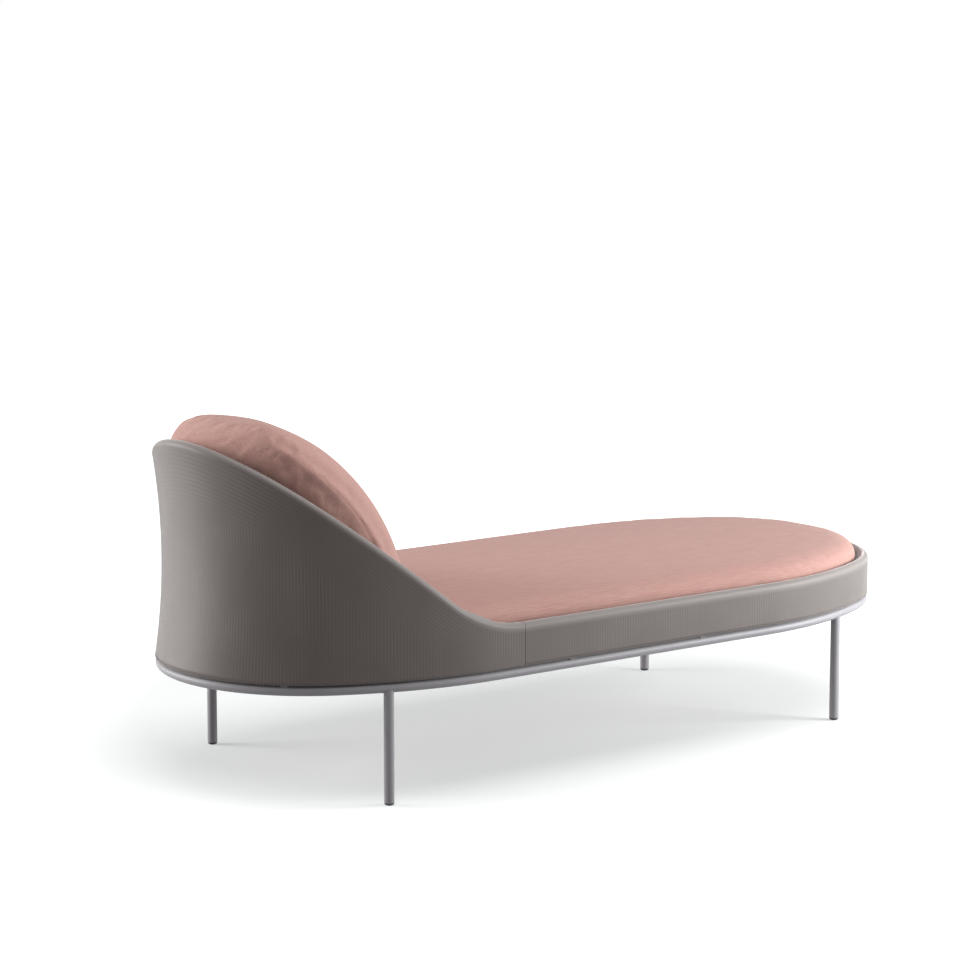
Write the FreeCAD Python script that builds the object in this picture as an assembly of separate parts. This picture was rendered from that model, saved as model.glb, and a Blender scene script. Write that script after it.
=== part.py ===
import FreeCAD, Part
import math
import os

from FreeCAD import Vector

# Outdoor chaise longue. An oval steel ring on four legs carries a shell of two layers of mesh,
# whose rim rises in one sweep to a back round the head end, with a seat and a back cushion inside.
# Millimetres. +X points to the foot end, +Z up. The origin is on the floor under the ring's middle.

# Plan outline, along the middle of the ring and of the rim
plan_length = 1865.0
plan_width = 770.0
straight_length = 779.6
side_radius = 783.5

# Base frame
ring_diameter = 22.0
ring_height = 253.6
leg_diameter = 22.0
leg_wall = 2.0
leg_end_gap = 288.0
weld_gap = 0.15
glide_height = 6.0
glide_flat = 12.0
glide_bevel = 4.0
glide_stem = 22.0
glide_clearance = 0.2
slat_count = 13
slat_end_gap = 182.5
slat_width = 40.0
slat_thickness = 4.0
slat_drop = 2.0

# Shell frame
shell_gap = 1.5
hoop_width = 20.0
hoop_thickness = 8.0
rim_diameter = 20.0
rim_height = 349.5
back_height = 751.0
back_slope = math.radians(38.5)
seam_inset = 67.2
upright_width = 12.0
upright_thickness = 5.0
upright_end_gap = 165.5

# Pads that carry the shell on the ring
pad_size = 16.0
pad_turn = math.radians(45.0)
pad_bay = 1.5

# Mesh cover
mesh_thickness = 1.2
mesh_clearance = 0.5
mesh_fold = 4.0
mesh_draw = 1.08e-4
end_spans = 6
side_spans = 4
straight_spans = 1

# Cushions
rest_clearance = 0.3
seat_height = 402.0
cushion_side_gap = 10.3
cushion_foot_gap = 9.3
cushion_head_gap = 27.0
seat_tuck = 14.0
seat_tuck_height = 28.0
seat_roll = 30.0
seat_crown = 8.0
seat_flat_radius = 47.8
seat_steps = 3
back_top = 793.0
back_foot_depth = 479.8
back_top_depth = 185.7
back_front_bow = 72.0
back_crown = 74.0
back_crown_inset = 52.0
back_tuck = 10.0
back_tuck_height = 30.0
back_steps = 3


def line(start, end):
    return Part.LineSegment(start, end).toShape()


def arc(start, middle, end):
    return Part.Arc(start, middle, end).toShape()


def bowed(start, middle, end):
    """An arc through the middle point, or a line where the three points lie straight."""
    bow = (middle - (start + end) * 0.5).Length
    return arc(start, middle, end) if bow > 1e-3 else line(start, end)


class Oval:
    """Outline with straight sides, a wide arc towards each end and a tighter arc round the end."""

    def __init__(self, length, width, straight, radius, centre_x=0.0):
        self.reach = length / 2
        self.half_width = width / 2
        self.straight = straight / 2
        self.radius = radius
        self.centre_x = centre_x
        run = self.reach - self.straight
        rise = self.half_width
        self.end_radius = (run**2 - 2 * radius * rise + rise**2) / (2 * (run - radius))
        self.turn = math.asin((run - self.end_radius) / (radius - self.end_radius))
        self.end_centre = self.reach - self.end_radius
        self.end_run = self.end_radius * (math.pi / 2 - self.turn)
        self.side_run = radius * self.turn

    def inset(self, distance):
        return Oval(
            2 * (self.reach - distance),
            2 * (self.half_width - distance),
            2 * self.straight,
            self.radius - distance,
            self.centre_x,
        )

    def side_point(self, angle, end, z):
        """A point on the wide arc next to the foot's -Y side (end 1) or the head's +Y side (end -1)."""
        x = self.straight + self.radius * math.sin(angle)
        y = self.radius * (1 - math.cos(angle)) - self.half_width
        return Vector(self.centre_x + end * x, end * y, z)

    def end_edges(self, end, z):
        """The three arcs round the foot from -Y to +Y (end 1), or round the head back to -Y (end -1)."""
        points = [self.side_point(self.turn * share, end, z) for share in (0, 0.5, 1)]
        tip = Vector(self.centre_x + end * self.reach, 0, z)
        across = [Vector(p.x, -p.y, z) for p in reversed(points)]
        return [arc(*points), arc(points[2], tip, across[0]), arc(*across)]

    def edges(self, z):
        foot = self.end_edges(1, z)
        head = self.end_edges(-1, z)
        far = line(self.side_point(0, -1, z) + Vector(2 * self.straight, 0, 0), self.side_point(0, -1, z))
        near = line(self.side_point(0, 1, z) - Vector(2 * self.straight, 0, 0), self.side_point(0, 1, z))
        return foot + [far] + head + [near]

    def wire(self, z):
        return Part.Wire(self.edges(z))

    def prism(self, bottom, top):
        return Part.Face(self.wire(bottom)).extrude(Vector(0, 0, top - bottom))

    def head_station(self, run):
        """Place and outward direction at a distance from the head's tip, positive towards -Y."""
        side = math.copysign(1, run)
        run = abs(run)
        if run <= self.end_run:
            angle = run / self.end_radius
            x = -self.end_centre - self.end_radius * math.cos(angle)
            y = -self.end_radius * math.sin(angle)
        elif run <= self.end_run + self.side_run:
            angle = math.pi / 2 - self.turn + (run - self.end_run) / self.radius
            x = -self.straight - self.radius * math.cos(angle)
            y = self.radius * (1 - math.sin(angle)) - self.half_width
        else:
            angle = math.pi / 2
            x = -self.straight + run - self.end_run - self.side_run
            y = -self.half_width
        place = Vector(self.centre_x + x, side * y, 0)
        return place, Vector(-math.cos(angle), -side * math.sin(angle), 0)

    def run_at(self, reach):
        """The distance from the head's tip at which the outline has come to -reach along X."""
        if reach <= self.straight:
            return self.end_run + self.side_run + self.straight - reach
        if reach <= self.straight + self.radius * math.sin(self.turn):
            angle = math.acos((reach - self.straight) / self.radius)
            return self.end_run + self.radius * (angle + self.turn - math.pi / 2)
        return self.end_radius * math.acos((reach - self.end_centre) / self.end_radius)


plan = Oval(plan_length, plan_width, straight_length, side_radius)
slat_pitch = 2 * (plan.reach - slat_end_gap) / (slat_count - 1)
back_start = plan.straight - seam_inset
ring_top = ring_height + ring_diameter / 2
slat_top = ring_top - slat_drop
shell_bottom = ring_top + shell_gap
hoop_bottom = shell_bottom + mesh_thickness + mesh_clearance
hoop_top = hoop_bottom + hoop_thickness
cover_radius = rim_diameter / 2 + mesh_clearance + mesh_thickness


def rim_bend():
    """The X where the rim's slope begins to climb, where its bend ends, and the bend's radius."""
    meet = (back_height - rim_height) / math.tan(back_slope) - plan.reach
    radius = (-back_start - meet) / math.tan(back_slope / 2)
    return -back_start, -back_start - radius * math.sin(back_slope), radius


def rim_z(x):
    start, end, radius = rim_bend()
    if x >= start:
        return rim_height
    if x > end:
        return rim_height + radius - math.sqrt(radius**2 - (start - x) ** 2)
    return back_height - (x + plan.reach) * math.tan(back_slope)


def rim_fall(x):
    """How fast the rim falls along +X."""
    start, end, radius = rim_bend()
    if x >= start:
        return 0.0
    if x > end:
        return (start - x) / math.sqrt(radius**2 - (start - x) ** 2)
    return math.tan(back_slope)


def wall_stations(end):
    """Places and outward directions round the head (end -1) or the foot (end 1), from seam to seam."""
    stops = [0.0, plan.end_run, plan.end_run + plan.side_run, plan.run_at(-end * back_start)]
    half = []
    for first, last, spans in zip(stops, stops[1:], (end_spans, side_spans, straight_spans)):
        half += [first + (last - first) * (k + 1) / spans for k in range(spans)]
    stations = [plan.head_station(run) for run in half[::-1] + [0.0] + [-run for run in half]]
    return [(mirrored(place, -end), mirrored(outward, -end)) for place, outward in stations]


def mirrored(vector, sign):
    return Vector(sign * vector.x, vector.y, vector.z)


def mesh_bow(place, outward):
    """How far tight mesh is drawn in at mid height of the wall, from nothing where the tight arc begins."""
    start = math.sin(plan.turn)
    share = max(-outward.x - start, 0.0) / (1 - start)
    return mesh_draw * (rim_z(place.x) - hoop_top) ** 2 * math.sqrt(share)


def mesh_lean(place, outward, z):
    """How far the tight mesh has been drawn in at a height above its lower fold."""
    fold_top = shell_bottom + mesh_thickness + mesh_fold
    share = (z - fold_top) / (rim_z(place.x) - fold_top)
    return 4 * share * (1 - share) * mesh_bow(place, outward)


def across(place, outward):
    """A function that gives points in the upright plane across the wall."""
    return lambda out, z: Vector(place.x + outward.x * out, place.y + outward.y * out, z)


def cap_arcs(at, half, rise, z):
    """A round cap over the wall: two arcs from its outer to its inner side."""
    shoulder = half * math.sqrt(0.5)
    shoulder_z = z + rise * math.sqrt(0.5)
    crest = at(0, z + rise)
    return [
        arc(at(half, z), at(shoulder, shoulder_z), crest),
        arc(crest, at(-shoulder, shoulder_z), at(-half, z)),
    ]


def stretch(place, outward):
    """How much taller than wide a sloping tube is in the upright plane across the wall."""
    return math.hypot(1, rim_fall(place.x) * outward.y)


def hoop_section(place, outward):
    at = across(place, outward)
    half = hoop_width / 2
    corners = [
        at(half - mesh_fold, hoop_bottom),
        at(half, hoop_bottom + mesh_fold),
        at(half - mesh_lean(place, outward, hoop_top), hoop_top),
        at(-half, hoop_top),
        at(-half, hoop_bottom + mesh_fold),
        at(mesh_fold - half, hoop_bottom),
    ]
    return Part.makePolygon(corners + corners[:1])


def rim_section(place, outward):
    at = across(place, outward)
    half = rim_diameter / 2
    rise = half * stretch(place, outward)
    turns = [math.radians(30 + 60 * k) for k in range(7)]
    points = [at(half * math.cos(t), rim_z(place.x) + rise * math.sin(t)) for t in turns]
    return Part.Wire([arc(*points[k : k + 3]) for k in (0, 2, 4)])


def sleeve_section(place, outward, skin):
    """Outline of the mesh sleeve across the wall, or of the space inside its skin."""
    at = across(place, outward)
    half = cover_radius - skin
    low = shell_bottom + skin
    high = rim_z(place.x)
    bow = mesh_bow(place, outward)
    fold_top = low + mesh_fold
    middle = (fold_top + high) / 2
    outer = bowed(at(half, fold_top), at(half - bow, middle), at(half, high))
    inner = bowed(at(-half, high), at(-half - bow, middle), at(-half, fold_top))
    foot = [
        line(at(-half, fold_top), at(mesh_fold - half, low)),
        line(at(mesh_fold - half, low), at(half - mesh_fold, low)),
        line(at(half - mesh_fold, low), at(half, fold_top)),
    ]
    return Part.Wire([outer] + cap_arcs(at, half, half * stretch(place, outward), high) + [inner] + foot)


def column(place, diameter, bottom, top):
    return Part.makeCylinder(diameter / 2, top - bottom, Vector(place.x, place.y, bottom))


def cope(place, outward):
    """A straight stretch of the ring's tube, to shape what is welded to the ring at this place."""
    along = Vector(-outward.y, outward.x, 0)
    start = place - along * ring_diameter + Vector(0, 0, ring_height)
    return Part.makeCylinder(ring_diameter / 2 + weld_gap, 2 * ring_diameter, start, along)


def swept(edges, face):
    """A face carried along lines and arcs as one solid."""
    pieces = []
    for edge in edges:
        face = face.copy()
        if isinstance(edge.Curve, Part.Line):
            step = edge.valueAt(edge.LastParameter) - edge.valueAt(edge.FirstParameter)
            pieces.append(face.extrude(step))
            face.translate(step)
        else:
            circle = edge.Curve
            turn = math.degrees(edge.Length / circle.Radius)
            pieces.append(face.revolve(circle.Center, circle.Axis, turn))
            face.rotate(circle.Center, circle.Axis, turn)
    return pieces[0].multiFuse(pieces[1:])


def tube(edges, diameter):
    start = edges[0].valueAt(edges[0].FirstParameter)
    circle = Part.makeCircle(diameter / 2, start, edges[0].tangentAt(edges[0].FirstParameter))
    return swept(edges, Part.Face(Part.Wire(circle)))


parts = {}

# Base ring, one closed tube
parts["base_ring"] = tube(plan.edges(ring_height), ring_diameter)

# Legs, coped to the underside of the ring, with a rounded glide in each lower end
leg_place, leg_outward = plan.head_station(plan.run_at(plan.reach - leg_end_gap))
leg_bore = leg_diameter - 2 * leg_wall
leg = column(leg_place, leg_diameter, glide_height, ring_height)
leg = leg.cut(column(leg_place, leg_bore, glide_height, ring_height)).cut(cope(leg_place, leg_outward))
stem = leg_bore / 2 - glide_clearance
stem_top = glide_height + glide_stem
corners = [
    Vector(leg_diameter / 2, 0, glide_height),
    Vector(stem, 0, glide_height),
    Vector(stem, 0, stem_top),
    Vector(0, 0, stem_top),
    Vector(0, 0, 0),
    Vector(glide_flat / 2, 0, 0),
    Vector(glide_flat / 2 + glide_bevel, 0, glide_height - glide_bevel),
]
glide = Part.Face(Part.makePolygon(corners + corners[:1])).revolve(Vector(), Vector(0, 0, 1), 360)
glide.translate(leg_place)
lengthwise = Vector(1, 0, 0)
crosswise = Vector(0, 1, 0)
glides = []
for end in ("head", "foot"):
    for side in ("right", "left"):
        leg_copy = leg if end == "head" else leg.mirror(Vector(), lengthwise)
        glide_copy = glide if end == "head" else glide.mirror(Vector(), lengthwise)
        if side == "left":
            leg_copy = leg_copy.mirror(Vector(), crosswise)
            glide_copy = glide_copy.mirror(Vector(), crosswise)
        parts[f"leg_{end}_{side}"] = leg_copy
        glides.append(glide_copy)
parts["leg_glides"] = Part.makeCompound(glides)

# Seat slats, flat bars across the ring with their ends coped to it
slat_bottom = slat_top - slat_thickness
slat_field = plan.prism(slat_bottom, slat_top)
ring_cut = tube(plan.edges(ring_height), ring_diameter + 2 * weld_gap)
for number in range(slat_count):
    x = (number - (slat_count - 1) / 2) * slat_pitch
    corner = Vector(x - slat_width / 2, -plan_width / 2, slat_bottom)
    slat = Part.makeBox(slat_width, plan_width, slat_thickness, corner)
    parts[f"seat_slat_{number + 1:02d}"] = slat.common(slat_field).cut(ring_cut)

# Shell round the foot and round the back, butted at the two side seams: a flat hoop below,
# a round rim above that climbs at the back, and a sleeve of mesh pulled over both
for name, end in (("foot", 1), ("back", -1)):
    stations = wall_stations(end)
    parts[f"hoop_{name}_bow"] = Part.makeLoft([hoop_section(*s) for s in stations], True, True)
    parts[f"rim_{name}_bow"] = Part.makeLoft([rim_section(*s) for s in stations], True, True)
    outside = Part.makeLoft([sleeve_section(*s, 0.0) for s in stations], True, True)
    inside = Part.makeLoft([sleeve_section(*s, mesh_thickness) for s in stations], True, True)
    parts[f"{name}_cover"] = outside.cut(inside)

# Uprights between the hoop and the rim, bowed with the mesh and coped to the rim
for end, end_sign in (("head", 1), ("foot", -1)):
    for row, reach in (("corner", plan.reach - upright_end_gap), ("side", back_start)):
        for side, side_sign in (("right", 1), ("left", -1)):
            place, outward = plan.head_station(side_sign * plan.run_at(reach))
            place, outward = mirrored(place, end_sign), mirrored(outward, end_sign)
            at = across(place, outward)
            top = rim_z(place.x)
            middle = (hoop_top + top) / 2
            bow = mesh_bow(place, outward)
            half = upright_thickness / 2
            profile = [
                bowed(at(half, hoop_top), at(half - bow, middle), at(half, top)),
                line(at(half, top), at(-half, top)),
                bowed(at(-half, top), at(-half - bow, middle), at(-half, hoop_top)),
                line(at(-half, hoop_top), at(half, hoop_top)),
            ]
            along = Vector(-outward.y, outward.x, 0) * upright_width
            bar = Part.Face(Part.Wire(profile)).extrude(along)
            bar.translate(along * -0.5)
            bar = bar.cut([parts["rim_foot_bow"], parts["rim_back_bow"]])
            parts[f"upright_{end}_{row}_{side}"] = bar

# Pads saddled on the ring under the hoop
pad_run = plan.end_radius * pad_turn
side_run = plan.run_at(pad_bay * slat_pitch)
pads = []
for run in (pad_run, -pad_run, side_run, -side_run):
    place, outward = plan.head_station(run)
    along = Vector(-outward.y, outward.x, 0) * (pad_size / 2)
    across_pad = outward * (pad_size / 2)
    base = place + Vector(0, 0, ring_height)
    near_edge = [base + along + across_pad, base + along - across_pad]
    far_edge = [base - along - across_pad, base - along + across_pad]
    outline = Part.makePolygon(near_edge + far_edge + near_edge[:1])
    pad = Part.Face(outline).extrude(Vector(0, 0, shell_bottom - ring_height)).cut(cope(place, outward))
    pads += [pad, pad.mirror(Vector(), lengthwise)]
parts["shell_pads"] = Part.makeCompound(pads)

# Seat cushion, a crowned oval with drawn-in sides and a rolled edge
inner_edge = plan.inset(cover_radius)
cushion_plan = Oval(
    2 * inner_edge.reach - cushion_foot_gap - cushion_head_gap,
    2 * (inner_edge.half_width - cushion_side_gap),
    straight_length,
    inner_edge.radius - cushion_side_gap,
    (cushion_head_gap - cushion_foot_gap) / 2,
)
seat_bottom = slat_top + rest_clearance
seat_edge = seat_height - seat_crown
tuck_top = seat_bottom + seat_tuck_height
seat_slope = cushion_plan.end_radius - seat_roll - seat_flat_radius
seat_levels = []
for step in range(seat_steps):
    angle = math.pi / 2 * step / seat_steps
    seat_levels.append((seat_tuck * (1 - math.sin(angle)), tuck_top - seat_tuck_height * math.cos(angle)))
seat_levels.append((0.0, tuck_top))
for step in range(seat_steps + 1):
    angle = math.pi / 2 * step / seat_steps
    seat_levels.append((seat_roll * (1 - math.cos(angle)), seat_edge - seat_roll * (1 - math.sin(angle))))
for step in range(1, seat_steps + 1):
    share = step / seat_steps
    seat_levels.append((seat_roll + seat_slope * share, seat_height - seat_crown * (1 - share) ** 2))
seat_wires = [cushion_plan.inset(inset).wire(z) for inset, z in seat_levels]
parts["seat_cushion"] = Part.makeLoft(seat_wires, True, True)

# Back cushion, a crowned oval like the seat that fills the head end, with a ball-shaped front
back_bottom = seat_height + rest_clearance
front_low = Vector(back_foot_depth - plan.reach, 0, back_bottom)
front_chord = Vector(back_top_depth - plan.reach, 0, back_top) - front_low
front_radius = front_chord.Length**2 / (8 * back_front_bow) + back_front_bow / 2
front_normal = Vector(front_chord.z, 0, -front_chord.x).normalize()
front_centre = front_low + front_chord * 0.5 - front_normal * (front_radius - back_front_bow)
back_levels = []
for step in range(back_steps):
    angle = math.pi / 2 * step / back_steps
    back_levels.append((back_tuck * (1 - math.sin(angle)), back_bottom + back_tuck_height * (1 - math.cos(angle))))
back_levels.append((0.0, back_bottom + back_tuck_height))
for step in range(back_steps + 1):
    angle = math.pi / 2 * step / back_steps
    back_levels.append((back_crown_inset * (1 - math.cos(angle)), back_top - back_crown * (1 - math.sin(angle))))
back_wires = [cushion_plan.inset(inset).wire(z) for inset, z in back_levels]
back_oval = Part.makeLoft(back_wires, True, True)
parts["back_cushion"] = back_oval.common(Part.makeSphere(front_radius, front_centre))

os.makedirs("parts", exist_ok=True)
for name, shape in parts.items():
    solids = shape.Solids
    bounds = shape.BoundBox
    print(
        f"{name:28s} solids {len(solids)} valid {shape.isValid()} volume {shape.Volume / 1000:10.2f} cm3"
        f"  z {bounds.ZMin:7.2f} to {bounds.ZMax:7.2f}"
    )
    shape.exportStep(f"parts/{name}.step")
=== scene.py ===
import math
import bpy
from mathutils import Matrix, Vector, noise


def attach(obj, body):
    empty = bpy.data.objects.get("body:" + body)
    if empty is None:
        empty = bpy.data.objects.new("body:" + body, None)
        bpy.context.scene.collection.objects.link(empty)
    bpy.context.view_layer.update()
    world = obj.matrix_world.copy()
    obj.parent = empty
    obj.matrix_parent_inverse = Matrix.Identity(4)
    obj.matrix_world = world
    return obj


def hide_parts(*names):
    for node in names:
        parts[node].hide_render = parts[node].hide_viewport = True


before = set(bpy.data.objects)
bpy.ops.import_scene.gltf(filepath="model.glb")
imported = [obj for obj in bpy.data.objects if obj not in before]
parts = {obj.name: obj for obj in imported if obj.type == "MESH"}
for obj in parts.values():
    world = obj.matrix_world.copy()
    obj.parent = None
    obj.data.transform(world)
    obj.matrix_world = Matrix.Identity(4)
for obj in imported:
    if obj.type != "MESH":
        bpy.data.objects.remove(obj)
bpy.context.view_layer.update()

# The base frame is a closed ring of bent steel tube on four legs, with flat slats welded across it.
# It is powder coated after welding, in a satin lilac grey with a faint orange peel.
coat_light = (0.300, 0.287, 0.304)
coat_dark = (0.270, 0.258, 0.274)
coat_gloss_low = 0.42
coat_gloss_high = 0.54
coat_peel_depth = 0.00006


def new_finish(name, colour, roughness):
    finish = bpy.data.materials.new(name)
    finish.use_nodes = True
    shader = finish.node_tree.nodes["Principled BSDF"]
    tune(shader, {"Base Color": (*colour, 1), "Roughness": roughness})
    return finish, finish.node_tree, shader


def tune(node, values):
    for key, value in values.items():
        node.inputs[key].default_value = value


def put(tree, kind, values=(), **settings):
    """A shader node with its settings and the values of some of its inputs."""
    node = tree.nodes.new(kind)
    for key, value in settings.items():
        setattr(node, key, value)
    tune(node, dict(values))
    return node


def grain(tree, scale, detail):
    """Noise that is fixed to the piece, from 0 to 1."""
    place = put(tree, "ShaderNodeTexCoord")
    speckle = put(tree, "ShaderNodeTexNoise", {"Scale": scale, "Detail": detail})
    tree.links.new(place.outputs["Object"], speckle.inputs["Vector"])
    return speckle.outputs["Fac"]


def ramp(tree, value, start, end, low=0.0, high=1.0, **settings):
    """A value carried from one range to another and held at both ends."""
    limits = {"From Min": start, "From Max": end, "To Min": low, "To Max": high}
    carried = put(tree, "ShaderNodeMapRange", limits, **settings)
    tree.links.new(value, carried.inputs["Value"])
    return carried.outputs["Result"]


def blend(tree, factor, first, second):
    """A colour that goes from the first shade to the second as the factor goes from 0 to 1."""
    mix = put(tree, "ShaderNodeMix", data_type="RGBA")
    tree.links.new(factor, mix.inputs[0])
    for socket, shade in ((mix.inputs[6], first), (mix.inputs[7], second)):
        if isinstance(shade, tuple):
            socket.default_value = (*shade, 1)
        else:
            tree.links.new(shade, socket)
    return mix.outputs[2]


def paint(tree, shader, colour):
    tree.links.new(colour, shader.inputs["Base Color"])


def bumped(tree, shader, height, depth, strength=1.0):
    bump = put(tree, "ShaderNodeBump", {"Strength": strength, "Distance": depth})
    tree.links.new(height, bump.inputs["Height"])
    tree.links.new(bump.outputs["Normal"], shader.inputs["Normal"])


def dress(finish, *names):
    for name in names:
        parts[name].data.materials.clear()
        parts[name].data.materials.append(finish)


powder_coat, tree, shader = new_finish("powder_coat", coat_light, coat_gloss_low)
paint(tree, shader, blend(tree, grain(tree, 14.0, 3.0), coat_dark, coat_light))
peel = grain(tree, 700.0, 2.0)
gloss = ramp(tree, peel, 0.0, 1.0, coat_gloss_low, coat_gloss_high)
tree.links.new(gloss, shader.inputs["Roughness"])
bumped(tree, shader, peel, coat_peel_depth)
legs = [name for name in parts if name.startswith("leg_") and name != "leg_glides"]
slats = [name for name in parts if name.startswith("seat_slat_")]
dress(powder_coat, "base_ring", *legs, *slats)

# The glides are moulded plugs pushed into the lower ends of the legs. Their shoulders carry on the
# leg's grey, and the soles are near-black.
glide_grey = (0.105, 0.100, 0.106)
glide_black = (0.012, 0.012, 0.013)
sole_height = 0.0032
sole_blend = 0.0008
glide_scuff_depth = 0.0001
moulded_glide, tree, shader = new_finish("moulded_glide", glide_black, 0.55)
place = put(tree, "ShaderNodeTexCoord")
split = put(tree, "ShaderNodeSeparateXYZ")
tree.links.new(place.outputs["Object"], split.inputs["Vector"])
shoulder = ramp(tree, split.outputs["Z"], sole_height, sole_height + sole_blend)
paint(tree, shader, blend(tree, shoulder, glide_black, glide_grey))
bumped(tree, shader, grain(tree, 400.0, 4.0), glide_scuff_depth)
dress(moulded_glide, "leg_glides")

# The pads are small saddles welded on the ring, and the shell stands on them. They are coated in a
# matt mid grey that tones with the mesh.
pad_dark = (0.140, 0.131, 0.130)
pad_light = (0.175, 0.165, 0.163)
pad_coat, tree, shader = new_finish("pad_coat", pad_dark, 0.7)
paint(tree, shader, blend(tree, grain(tree, 500.0, 3.0), pad_dark, pad_light))
dress(pad_coat, "shell_pads")

# The shell frame is a flat hoop, a round rim and upright bars, welded and coated in a plain grey
# primer that shows only faintly through the mesh.
primer_light = (0.250, 0.235, 0.225)
primer_dark = (0.200, 0.188, 0.180)
primer, tree, shader = new_finish("shell_primer", primer_light, 0.6)
paint(tree, shader, blend(tree, grain(tree, 40.0, 4.0), primer_dark, primer_light))
dress(primer, *[name for name in parts if name.startswith(("hoop_", "rim_", "upright_"))])

# The mesh sleeves are open outdoor mesh sewn into two long tubes and pulled tight over the hoop and
# the rim, so the wall has two layers. They butt at a sewn seam on each side, and the tall one is
# drawn in between hoop and rim where the wall turns round the head.
plan_reach = 0.9325
plan_half_width = 0.385
plan_straight = 0.3898
side_radius = 0.7835
end_run_x = plan_reach - plan_straight
end_radius = (end_run_x**2 - 2 * side_radius * plan_half_width + plan_half_width**2) / (
    2 * (end_run_x - side_radius)
)
side_turn = math.asin((end_run_x - end_radius) / (side_radius - end_radius))
end_run = end_radius * (math.pi / 2 - side_turn)
side_run = side_radius * side_turn
rim_low = 0.3495
rim_high = 0.751
rim_slope = math.tan(math.radians(38.5))
rim_steps = 14
seam_x = 0.3226
shell_bottom = 0.2661
hoop_top = 0.2758
sleeve_radius = 0.0117
sleeve_skin = 0.0012
sleeve_draw = 0.108
draw_onset = 0.3
sleeve_fold = 0.0016
fold_turns = ((-1, 30), (-1, 60), (-1, 90), (1, 90), (1, 60), (1, 30), (1, 0))
seam_roll = 0.0011
roll_shares = (0.0, 0.2, 0.45, 1.0)
roll_depth = 0.7
curves_below_rim = (0.16, 0.05)
curves_behind_x = (-0.36, -0.55)


def plan_place(run):
    """Place and outward direction at a distance round from the head's tip, positive towards -Y."""
    side = 1 if run >= 0 else -1
    run = abs(run)
    if run <= end_run:
        angle = run / end_radius
        x = end_radius - plan_reach - end_radius * math.cos(angle)
        y = -end_radius * math.sin(angle)
    elif run <= end_run + side_run:
        angle = math.pi / 2 - side_turn + (run - end_run) / side_radius
        x = -plan_straight - side_radius * math.cos(angle)
        y = side_radius * (1 - math.sin(angle)) - plan_half_width
    else:
        angle = math.pi / 2
        x = -plan_straight + run - end_run - side_run
        y = -plan_half_width
    return x, side * y, -math.cos(angle), -side * math.sin(angle)


def rim_level(x):
    """Height and slope of the middle of the rim, level at the foot, bending up into the back."""
    meet = (rim_high - rim_low) / rim_slope - plan_reach
    radius = (-seam_x - meet) / math.tan(math.atan(rim_slope) / 2)
    bend_end = -seam_x - radius * math.sin(math.atan(rim_slope))
    if x >= -seam_x:
        return rim_low, 0.0
    if x > bend_end:
        drop = math.sqrt(radius**2 - (seam_x + x) ** 2)
        return rim_low + radius - drop, -(seam_x + x) / drop
    return rim_high - (x + plan_reach) * rim_slope, rim_slope


def bell(value, low, high):
    """Rises smoothly from 0 at the low value to 1 at the high one."""
    share = min(max((value - low) / (high - low), 0.0), 1.0)
    return share * share * (3 - 2 * share)


def wall_section(x, nx, ny, pull_in, wall_steps):
    """Points across the wall, as (out, height), round from the lower outer fold over the rim."""
    high, fall = rim_level(x)
    rise = math.hypot(1, fall * ny)
    half = sleeve_radius - pull_in
    low = shell_bottom + pull_in
    start = math.sin(side_turn)
    turned = 1 - math.acos(min(-nx, 1.0)) / math.acos(start)
    onset = math.sqrt(max(-nx - start, 0) / (1 - start)) * bell(turned, 0.0, draw_onset)
    draw = sleeve_draw * (high - hoop_top) ** 2 * onset
    tall = high - low - sleeve_fold
    lean = math.atan(4 * draw / tall)
    leave = half * rise * math.sin(lean) / tall
    section = []
    for step in range(wall_steps):
        share = step / wall_steps * (1 - leave)
        section.append((half - draw * 4 * share * (1 - share), low + sleeve_fold + tall * share))
    for step in range(rim_steps + 1):
        turn = math.pi * step / rim_steps - lean
        section.append((half * math.cos(turn), high + half * rise * math.sin(turn)))
    for step in range(wall_steps - 1, -1, -1):
        share = step / wall_steps * (1 + leave)
        section.append((-half - draw * 4 * share * (1 - share), low + sleeve_fold + tall * share))
    for side, turn in fold_turns:
        angle = math.radians(turn)
        fold_out = half - sleeve_fold + sleeve_fold * math.cos(angle)
        section.append((side * fold_out, low + sleeve_fold * (1 - math.sin(angle))))
    return section


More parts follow.
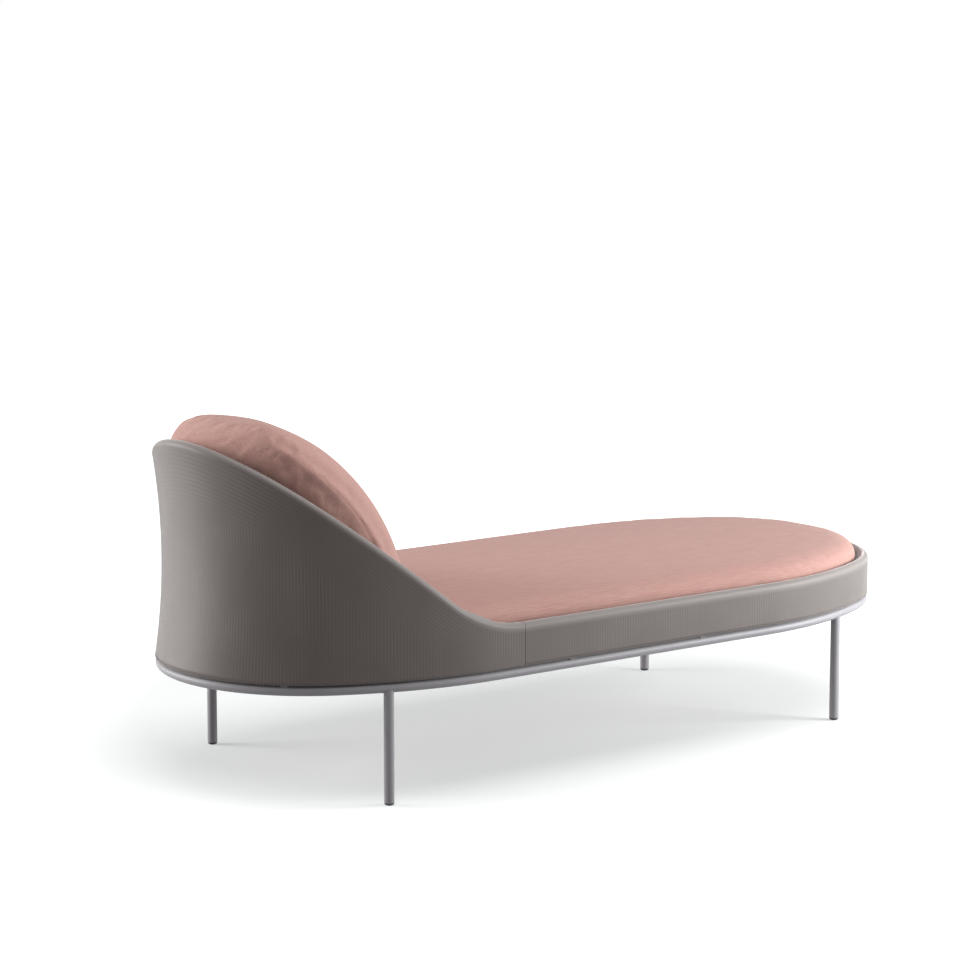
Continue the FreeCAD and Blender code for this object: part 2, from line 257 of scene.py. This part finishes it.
def sew_sleeve(name, end, step_length, wall_steps):
    """A sleeve round the head (end 1) or the foot (end -1), open at its two sewn ends."""
    last = end_run + side_run + (plan_straight - end * seam_x)
    count = round(last / step_length)
    rolls = []
    for share in roll_shares:
        rolls.append((last - seam_roll * share, seam_roll * (1 - share) ** 2 * roll_depth))
    runs = [(last - 2 * seam_roll) * k / count for k in range(1, count + 1)]
    half = [(run, 0.0) for run in runs] + rolls[::-1]
    stations = [(-run, pull) for run, pull in half[::-1]] + [(0.0, 0.0)] + half
    verts, faces, uvs, drops, beats = [], [], [], [], []
    for run, pull in stations:
        x, y, nx, ny = plan_place(run)
        if end == 1:
            section = wall_section(x, nx, ny, pull, wall_steps)
        else:
            section = wall_section(plan_reach, 0.0, ny, pull, wall_steps)
        length = 0.0
        for k, (out, height) in enumerate(section):
            if k:
                length += math.dist(section[k - 1], section[k])
            verts.append((end * (x + nx * out), y + ny * out, height))
            uvs.append((run, length))
            drops.append(rim_level(verts[-1][0])[0] - height)
            beats.append(bell(drops[-1], *curves_below_rim) * bell(verts[-1][0], *curves_behind_x))
    width = len(verts) // len(stations)
    for row in range(len(stations) - 1):
        for k in range(width - 1):
            a = row * width + k
            corners = [a, a + 1, a + width + 1, a + width]
            faces.append(corners if end == -1 else corners[::-1])
    mesh = bpy.data.meshes.new(name)
    mesh.from_pydata(verts, [], faces)
    layer = mesh.uv_layers.new(name="cloth")
    for loop in mesh.loops:
        layer.data[loop.index].uv = uvs[loop.vertex_index]
    mesh.attributes.new("below_rim", "FLOAT", "POINT").data.foreach_set("value", drops)
    mesh.attributes.new("curving", "FLOAT", "POINT").data.foreach_set("value", beats)
    piece = bpy.data.objects.new(name, mesh)
    bpy.context.scene.collection.objects.link(piece)
    mesh.polygons.foreach_set("use_smooth", [True] * len(mesh.polygons))
    return piece


def pick(piece):
    bpy.ops.object.select_all(action="DESELECT")
    piece.select_set(True)
    bpy.context.view_layer.objects.active = piece


def apply_all(piece):
    pick(piece)
    for modifier in list(piece.modifiers):
        bpy.ops.object.modifier_apply(modifier=modifier.name)


def combine(tree, operation, first, second):
    node = put(tree, "ShaderNodeMath", operation=operation)
    tree.links.new(first, node.inputs[0])
    tree.links.new(second, node.inputs[1])
    return node.outputs[0]


mesh_light = (0.158, 0.135, 0.127)
mesh_dark = (0.110, 0.093, 0.087)
mesh_hole = (0.095, 0.080, 0.074)
mesh_rim_primer_and_highlight = (0.215, 0.193, 0.184)
mesh_warm = (1.0, 0.93, 0.91, 1)
thread_pitch = 0.0016
thread_depth = 0.0003
rib_pitch = 0.0072
curve_pitch = 0.0085
wave_period = math.pi / 10
open_mesh, tree, shader = new_finish("open_mesh", mesh_light, 0.45)
tune(shader, {"Specular IOR Level": 0.25, "Specular Tint": mesh_warm})
tune(shader, {"Coat Weight": 0.18, "Coat Roughness": 0.55, "Coat Tint": (1.0, 0.95, 0.93, 1)})
tune(shader, {"Sheen Weight": 1.0, "Sheen Roughness": 0.3, "Sheen Tint": mesh_warm})


def stripes(tree, pitch, direction="X", distortion=0.0, detail_scale=1.0):
    """Waves at a pitch, which waver where a distortion is given."""
    values = {"Scale": wave_period / pitch, "Distortion": distortion, "Detail Scale": detail_scale}
    return put(tree, "ShaderNodeTexWave", values, bands_direction=direction)


place = put(tree, "ShaderNodeUVMap", uv_map="cloth")
wales = stripes(tree, thread_pitch)
courses = stripes(tree, thread_pitch, "Y")
ribs = stripes(tree, rib_pitch, distortion=1.5, detail_scale=0.04)
patches = put(tree, "ShaderNodeTexNoise", {"Scale": 7.0, "Detail": 1.0})
for texture in (wales, courses, ribs, patches):
    tree.links.new(place.outputs["UV"], texture.inputs["Vector"])
threads = combine(tree, "MAXIMUM", wales.outputs["Fac"], courses.outputs["Fac"])

# Where the two layers lie over each other their threads beat: upright ribs on most of the wall, and
# nested curves below the rim round the head. Over the rim the mesh is painted lighter: partly the pale
# primer of the rim behind it, partly a painted highlight where the rounded top catches the light.
below = put(tree, "ShaderNodeAttribute", attribute_name="below_rim")
curves = stripes(tree, curve_pitch, distortion=2.5, detail_scale=0.05)
tree.links.new(below.outputs["Vector"], curves.inputs["Vector"])
near_rim = put(tree, "ShaderNodeAttribute", attribute_name="curving")
beat = put(tree, "ShaderNodeMix", data_type="FLOAT")
tree.links.new(near_rim.outputs["Fac"], beat.inputs[0])
tree.links.new(ribs.outputs["Fac"], beat.inputs[2])
tree.links.new(curves.outputs["Fac"], beat.inputs[3])
fade = ramp(tree, patches.outputs["Fac"], 0.35, 0.65, 0.25, 1.0)
strong = combine(tree, "MULTIPLY", beat.outputs[0], fade)
weave = blend(tree, threads, mesh_hole, blend(tree, strong, mesh_dark, mesh_light))
# Lighter over the top of the rim: backing primer and a painted highlight from the light above.
rim_primer_and_highlight_share = ramp(tree, below.outputs["Fac"], -0.004, 0.012, interpolation_type="SMOOTHSTEP")
paint(tree, shader, blend(tree, rim_primer_and_highlight_share, mesh_rim_primer_and_highlight, weave))
bumped(tree, shader, threads, thread_depth, 0.35)

for name, end, node, step_length, wall_steps in (
    ("foot_sleeve", -1, "foot_cover", 0.009, 14),
    ("back_sleeve", 1, "back_cover", 0.0075, 52),
):
    sleeve = sew_sleeve(name, end, step_length, wall_steps)
    skin = sleeve.modifiers.new("skin", "SOLIDIFY")
    skin.thickness = sleeve_skin
    skin.offset = -1
    apply_all(sleeve)
    sleeve.data.materials.append(open_mesh)
    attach(sleeve, "frame")
    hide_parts(node)

# The seat cushion is a slab of outdoor foam in a tight woven cover, crowned in the middle, with
# sides that draw in to the slats and an upper edge that rolls over inside the rim.
rose_light = (0.505, 0.295, 0.255)
rose_deep = (0.402, 0.218, 0.186)
rose_seam_shade = (0.320, 0.165, 0.140)
slub_depth = 0.0012
seam_shade_width = 0.0022
filling_pressure = 4
seam_depth = 0.0010
seam_width = 0.0045
seam_flush_z = (0.735, 0.775)
seam_flush_fade = 15
pad_x = 0.00885
pad_half = 0.363
pad_radius = 0.7615
pad_end_radius = 0.3178
pad_end_x = 0.5849
seat_low = 0.2629
seat_edge = 0.394
seat_crown = 0.0079
seat_bulge = 0.009
seat_room = 0.0085
seat_middle = 0.315
seat_seam_high = 0.346
seat_seam_low = 0.286
bulge_reach = (-0.10, -0.01)
bulge_from_z = (0.290, 0.345)
bulge_to_z = (0.402, 0.366)
foot_calm_x = (0.70, 0.86)
foot_calm = 0.5


def slub_cloth(name, threads):
    """Plain outdoor weave in dusty rose, with thick and thin slubs that lie along the threads."""
    finish, tree, shader = new_finish(name, rose_light, 0.85)
    tune(shader, {"Specular IOR Level": 0.2, "Sheen Weight": 0.11, "Sheen Roughness": 0.5})
    place = put(tree, "ShaderNodeTexCoord")
    stretch = put(tree, "ShaderNodeMapping", {"Scale": threads})
    tree.links.new(place.outputs["Object"], stretch.inputs["Vector"])
    slub = put(tree, "ShaderNodeTexNoise", {"Scale": 1.0, "Detail": 5.0, "Roughness": 0.65})
    tree.links.new(stretch.outputs["Vector"], slub.inputs["Vector"])
    shade = ramp(tree, slub.outputs["Fac"], 0.32, 0.68)
    # Along the seam the cloth is painted darker: painted shade of the seam's groove.
    seam_place = put(tree, "ShaderNodeAttribute", attribute_name="seam")
    beside = put(tree, "ShaderNodeMath", operation="ABSOLUTE")
    tree.links.new(seam_place.outputs["Fac"], beside.inputs[0])
    seam_shade = ramp(tree, beside.outputs[0], 0.0, seam_shade_width, interpolation_type="SMOOTHSTEP")
    paint(tree, shader, blend(tree, seam_shade, rose_seam_shade, blend(tree, shade, rose_deep, rose_light)))
    bumped(tree, shader, slub.outputs["Fac"], slub_depth, 0.5)
    return finish


def soft_copy(name, node):
    piece = bpy.data.objects.new(name, parts[node].data.copy())
    bpy.context.scene.collection.objects.link(piece)
    piece.data.materials.clear()
    pick(piece)
    bpy.ops.object.mode_set(mode="EDIT")
    bpy.ops.mesh.select_all(action="SELECT")
    bpy.ops.mesh.remove_doubles(threshold=0.00005)
    bpy.ops.object.mode_set(mode="OBJECT")
    return piece


def fill_out(piece, voxel, rounds, shrink, cap, frames):
    """Even mesh a little inside the cover's size, blown up by its filling as far as the cap lets it."""
    even = piece.modifiers.new("even", "REMESH")
    even.mode = "VOXEL"
    even.voxel_size = voxel
    even.use_smooth_shade = True
    soften = piece.modifiers.new("soften", "SMOOTH")
    soften.factor = 0.5
    soften.iterations = rounds
    apply_all(piece)
    mesh = piece.data
    normals = [v.normal.copy() for v in mesh.vertices]
    for vert, normal in zip(mesh.vertices, normals):
        vert.co -= normal * shrink
    rest = [v.co.copy() for v in mesh.vertices]
    cloth = piece.modifiers.new("filling", "CLOTH")
    cloth.settings.use_pressure = True
    cloth.settings.uniform_pressure_force = filling_pressure
    cloth.settings.effector_weights.gravity = 0
    cloth.settings.quality = 4
    for step in range(1, frames + 1):
        bpy.context.scene.frame_set(step)
    blown = piece.evaluated_get(bpy.context.evaluated_depsgraph_get()).data
    moved = [v.co.copy() for v in blown.vertices]
    piece.modifiers.clear()
    for vert, start, goal in zip(mesh.vertices, rest, moved):
        way = goal - start
        if way.length > cap:
            way = way.normalized() * cap
        vert.co = start + way
    bpy.context.scene.frame_set(1)


def sew(piece, seam_side, gather):
    """One finer level, then a groove along the seam and the puckers beside it."""
    finer = piece.modifiers.new("finer", "SUBSURF")
    finer.levels = 1
    finer.render_levels = 1
    apply_all(piece)
    mesh = piece.data
    sides = [seam_side(v.co) for v in mesh.vertices]
    normals = [v.normal.copy() for v in mesh.vertices]
    flush = [bell(v.co.z, *seam_flush_z) for v in mesh.vertices]
    for vert, side, normal, flat in zip(mesh.vertices, sides, normals, flush):
        groove = seam_depth * math.exp(-((side / seam_width) ** 2)) * (1 - flat)
        vert.co += normal * (gather(vert.co, side) - groove)
    # Near the top the seam's painted shade fades out together with the groove.
    shown = [side * (1 + seam_flush_fade * flat) for side, flat in zip(sides, flush)]
    mesh.attributes.new("seam", "FLOAT", "POINT").data.foreach_set("value", shown)


def seat_seam(point):
    """Height over the upper or the lower seam of the seat's boxing strip."""
    return point.z - (seat_seam_high if point.z > seat_middle else seat_seam_low)


def no_gather(point, side):
    return 0.0


def pad_side(x, y):
    """Distance outside the cushions' plan, which follows the inside of the shell."""
    x, y = abs(x - pad_x), abs(y)
    if math.atan2(y, x - pad_end_x) < math.pi / 2 - side_turn:
        return math.hypot(x - pad_end_x, y) - pad_end_radius
    if x > plan_straight:
        return math.hypot(x - plan_straight, y - pad_half + pad_radius) - pad_radius
    return y - pad_half


seat_cloth = slub_cloth("seat_cloth", (22.0, 420.0, 420.0))
seat = soft_copy("seat_pad", "seat_cushion")
fill_out(seat, voxel=0.012, rounds=4, shrink=0.0, cap=0.004, frames=12)
for vert in seat.data.vertices:
    x, y, z = vert.co
    spine = Vector((min(max(x, -plan_straight), plan_straight), 0, 0))
    out = Vector((x, y, 0)) - spine
    side = pad_side(x, y)
    edge = bell(side, *bulge_reach) * bell(z, *bulge_from_z) * bell(z, *bulge_to_z)
    plump = seat_bulge * edge * (1 - foot_calm * bell(x, *foot_calm_x))
    vert.co += out.normalized() * (min(side + plump, seat_room) - side)
    if z > seat_edge:
        vert.co.z = seat_edge + seat_crown * math.tanh((z - seat_edge) / seat_crown)
    vert.co.z = max(vert.co.z, seat_low)
sew(seat, seat_seam, no_gather)
seat.data.materials.append(seat_cloth)
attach(seat, "seat")
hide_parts("seat_cushion")

# The back cushion is a fibre-filled box cushion of the same cloth. A boxing strip follows the inside
# of the shell and is sewn to a domed front panel, with a plain seam and a few puckers along it.
back_low = 0.4023
back_high = 0.793
front_foot_x = -0.4527
front_top_x = -0.7468
front_bow = 0.072
front_low = Vector((front_foot_x, 0, back_low))
front_chord = Vector((front_top_x, 0, back_high)) - front_low
front_radius = front_chord.length**2 / (8 * front_bow) + front_bow / 2
front_normal = Vector((front_chord.z, 0, -front_chord.x)).normalized()
front_centre = front_low + front_chord * 0.5 - front_normal * (front_radius - front_bow)
crown_rise = 0.074
crown_inset = 0.052
seam_lean = 0.013
seam_lean_z = (0.68, 0.50)
seam_spread_z = (0.66, 0.50)
pucker_turn = 0.4
pucker_pitch = 0.028
pucker_length = 0.09
pucker_depth = 0.0018
pucker_front = 0.030
pucker_boxing = 0.055
pucker_foot = 0.12
pucker_top_z = (0.785, 0.70)
boxing_plump = 0.005
plump_seam = (0.015, -0.035)
plump_far = (-0.15, -0.05)
plump_z = (0.46, 0.60)
side_bulge = 0.003
head_bulge = 0.014
head_bulge_reach = (-0.11, -0.01)
head_bulge_z = (0.64, 0.755)


def boxing_side(point):
    """Distance outside the boxing strip, which follows the shell's plan and rolls in at the top."""
    out = pad_side(point.x, point.y)
    share = min(max(1 - (back_high - point.z) / crown_rise, 0.0), 1.0)
    return max(out + crown_inset * (1 - math.sqrt(1 - share**2)), point.z - back_high)


def back_seam(point):
    """Positive on the domed front panel, negative on the boxing, nought along their seam."""
    lean = seam_lean * bell(point.z, *seam_lean_z)
    spread = 1 + bell(point.z, *seam_spread_z)
    return ((point - front_centre).length - front_radius - boxing_side(point) + lean) * spread


def back_gather(point, side):
    """Puckers along the seam, and the boxing plumped out beside it."""
    along = math.atan2(point.y, point.z - back_low) * pucker_turn
    pull = noise.noise(Vector((along / pucker_pitch, side / pucker_length, 0.0)))
    reach = pucker_front if side > 0 else pucker_boxing
    height = bell(point.z, back_low, back_low + pucker_foot) * bell(point.z, *pucker_top_z)
    plump = 0.0
    if side < 0:
        plump = boxing_plump * bell(side, *plump_seam) * bell(side, *plump_far) * bell(point.z, *plump_z)
    return (plump + pucker_depth * pull * math.exp(-abs(side) / reach)) * height


back_cloth = slub_cloth("back_cloth", (420.0, 60.0, 420.0))
back = soft_copy("back_pad", "back_cushion")
fill_out(back, voxel=0.008, rounds=10, shrink=0.002, cap=0.006, frames=14)
for vert in back.data.vertices:
    bulge = bell(boxing_side(vert.co), *head_bulge_reach) * bell(vert.co.z, *head_bulge_z)
    out = Vector((vert.co.x + pad_end_x, vert.co.y, 0)).normalized()
    vert.co += out * bulge * (side_bulge + (head_bulge - side_bulge) * max(-out.x, 0) ** 2)
sew(back, back_seam, back_gather)
for vert in back.data.vertices:
    vert.co.z = max(vert.co.z, back_low)
back.data.materials.append(back_cloth)
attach(back, "back")
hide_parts("back_cushion")

# The studio is a white floor that runs into a white surround. Broad soft boxes light the chaise from
# overhead and from the head's far side, and smaller, cooler ones from the foot.
floor_seen = (0.60, 0.60, 0.60)
floor_bounce = (0.40, 0.40, 0.40)
floor_tint = (0.965, 1.0, 1.0, 1)
shade_centre = (0.1, 0.25, 0.0)
shade_near = 0.85
shade_far = 2.1
lift_near = 0.41
lift_far = 1.2
surround_fill = 0.18
foot_cool = (0.97, 1.0, 1.01)


def background_rays(tree):
    """1 for the rays that show the background: straight, mirrored by gloss or passed through."""
    rays = put(tree, "ShaderNodeLightPath")
    mirrored = combine(tree, "MAXIMUM", rays.outputs["Is Camera Ray"], rays.outputs["Is Glossy Ray"])
    return combine(tree, "MAXIMUM", mirrored, rays.outputs["Is Transmission Ray"])


bpy.ops.object.select_all(action="DESELECT")
bpy.ops.mesh.primitive_plane_add(size=60.0, location=(0, 0, 0))
floor = bpy.context.object
floor.name = "studio_floor"
floor_white, tree, shader = new_finish("floor_white", floor_seen, 0.9)
tune(shader, {"Specular IOR Level": 0.0, "Emission Color": floor_tint})
# The floor is paler to the camera than in the light it throws back, and it glows for camera and glossy
# rays: a painted lift, weak round the chaise so that its shadow stays, growing to full white further
# off.
seen = background_rays(tree)
paint(tree, shader, blend(tree, seen, floor_bounce, floor_seen))
place = put(tree, "ShaderNodeTexCoord")
centred = put(tree, "ShaderNodeVectorMath", {1: shade_centre}, operation="SUBTRACT")
tree.links.new(place.outputs["Object"], centred.inputs[0])
away = put(tree, "ShaderNodeVectorMath", operation="LENGTH")
tree.links.new(centred.outputs["Vector"], away.inputs[0])
brighten = ramp(tree, away.outputs["Value"], shade_near, shade_far, lift_near, lift_far)
lift = combine(tree, "MULTIPLY", seen, brighten)
tree.links.new(lift, shader.inputs["Emission Strength"])
floor.data.materials.append(floor_white)

world = bpy.data.worlds.new("studio")
bpy.context.scene.world = world
world.use_nodes = True
tree = world.node_tree
sky = tree.nodes["Background"]
sky.inputs["Color"].default_value = (1, 1, 1, 1)
strength = ramp(tree, background_rays(tree), 0.0, 1.0, surround_fill, 1.0)
tree.links.new(strength, sky.inputs["Strength"])


def soft_box(name, place, aim, size, power, colour=(1.0, 1.0, 1.0)):
    light = bpy.data.lights.new(name, "AREA")
    light.color = colour
    light.shape = "RECTANGLE"
    light.size, light.size_y = size
    light.energy = power
    lamp = bpy.data.objects.new(name, light)
    lamp.location = place
    lamp.rotation_euler = (Vector(aim) - Vector(place)).to_track_quat("-Z", "Y").to_euler()
    bpy.context.scene.collection.objects.link(lamp)


soft_box("overhead", (0.0, -0.75, 3.55), (0.0, 0.0, 0.3), (4.0, 3.0), 89)
soft_box("head_side", (-3.6, 2.9, 1.3), (-0.7, 0, 0.5), (2.0, 2.3), 165)
soft_box("head_rear", (-2.4, 4.1, 0.75), (-0.8, 0, 0.5), (1.6, 1.3), 28)
soft_box("foot_side", (2.2, -0.5, 0.75), (0.8, -0.1, 0.3), (0.8, 1.0), 9, foot_cool)
soft_box("foot_front", (1.95, -1.65, 0.66), (0.6, -0.3, 0.3), (0.9, 0.9), 63, foot_cool)

# The view is from beyond the head on the right side, a little above the back, through a long lens
# that shows the far legs nearly as large as the near ones.
view_down = 8.973
view_heading = -37.527
camera_data = bpy.data.cameras.new("photo_view")
camera_data.sensor_width = 36.0
camera_data.lens = 120.83
camera_data.clip_end = 200.0
camera = bpy.data.objects.new("photo_view", camera_data)
camera.location = (-4.51580, -5.69664, 1.73668)
camera.rotation_euler = (math.radians(90 - view_down), 0, math.radians(view_heading))
bpy.context.scene.collection.objects.link(camera)
bpy.context.scene.camera = camera
bpy.context.scene.view_settings.view_transform = "Standard"
